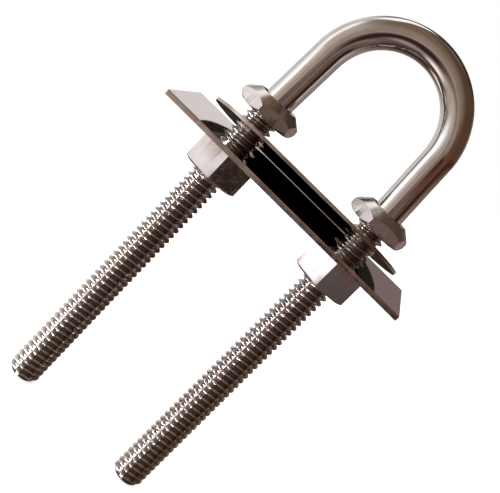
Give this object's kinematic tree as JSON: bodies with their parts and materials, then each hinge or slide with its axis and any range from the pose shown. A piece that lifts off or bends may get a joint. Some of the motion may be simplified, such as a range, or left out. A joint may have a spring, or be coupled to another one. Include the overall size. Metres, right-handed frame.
{
  "type": "pad eye",
  "caption": "U-bolt pad eye: bent bow with threaded legs, oval deck plate, rectangular backing plate, jam nuts above and hex nuts below.",
  "frame": {"origin": "halfway between the two leg axes, on the top face of the backing plate", "axes": "+Z along the legs towards the bow, +X from the left leg to the right leg, +Y away from the raised edge of the deck plate"},
  "size_m": [0.0535, 0.0264, 0.0975],
  "materials": {
    "polished_rod_steel": "polished stainless steel",
    "mirror_plate_steel": "mirror-polished stainless sheet",
    "satin_nut_steel": "satin-polished stainless steel"
  },
  "bodies": {
    "u_bolt": {"u_bolt": "polished_rod_steel"},
    "deck_plate": {"deck_plate": "mirror_plate_steel"},
    "backing_plate": {"backing_plate": "mirror_plate_steel"},
    "upper_nut_left": {"upper_nut_left": "satin_nut_steel"},
    "upper_nut_right": {"upper_nut_right": "satin_nut_steel"},
    "lower_nut_left": {"lower_nut_left": "satin_nut_steel"},
    "lower_nut_right": {"lower_nut_right": "satin_nut_steel"}
  },
  "joints": [
    {"name": "backing_plate_travel", "type": "slide", "parent": "u_bolt", "child": "backing_plate", "axis": [0, 0, 1], "range_m": [-0.052, 0]},
    {"name": "lower_nut_left_turn", "type": "hinge", "parent": "backing_plate", "child": "lower_nut_left", "pos_m": [-0.01375, 0, -0.0045], "axis": [0, 0, 1], "range_deg": [-14745, 5]},
    {"name": "lower_nut_right_turn", "type": "hinge", "parent": "backing_plate", "child": "lower_nut_right", "pos_m": [0.01375, 0, -0.0045], "axis": [0, 0, 1], "range_deg": [-14745, 5]},
    {"name": "deck_plate_rock", "type": "hinge", "parent": "u_bolt", "child": "deck_plate", "pos_m": [0, 0.01302, 0.00002], "axis": [1, 0, 0], "range_deg": [-3, 10.7]},
    {"name": "upper_nut_left_turn", "type": "hinge", "parent": "u_bolt", "child": "upper_nut_left", "pos_m": [-0.01375, 0, 0.00835], "axis": [0, 0, 1], "range_deg": [-1080, 0]},
    {"name": "upper_nut_right_turn", "type": "hinge", "parent": "u_bolt", "child": "upper_nut_right", "pos_m": [0.01375, 0, 0.0078], "axis": [0, 0, 1], "range_deg": [-1080, 0]}
  ],
  "couplings": [
    {"joint": "lower_nut_left_turn", "follows": "backing_plate_travel", "rad_per_m": 4947.4},
    {"joint": "lower_nut_right_turn", "follows": "backing_plate_travel", "rad_per_m": 4947.4}
  ]
}
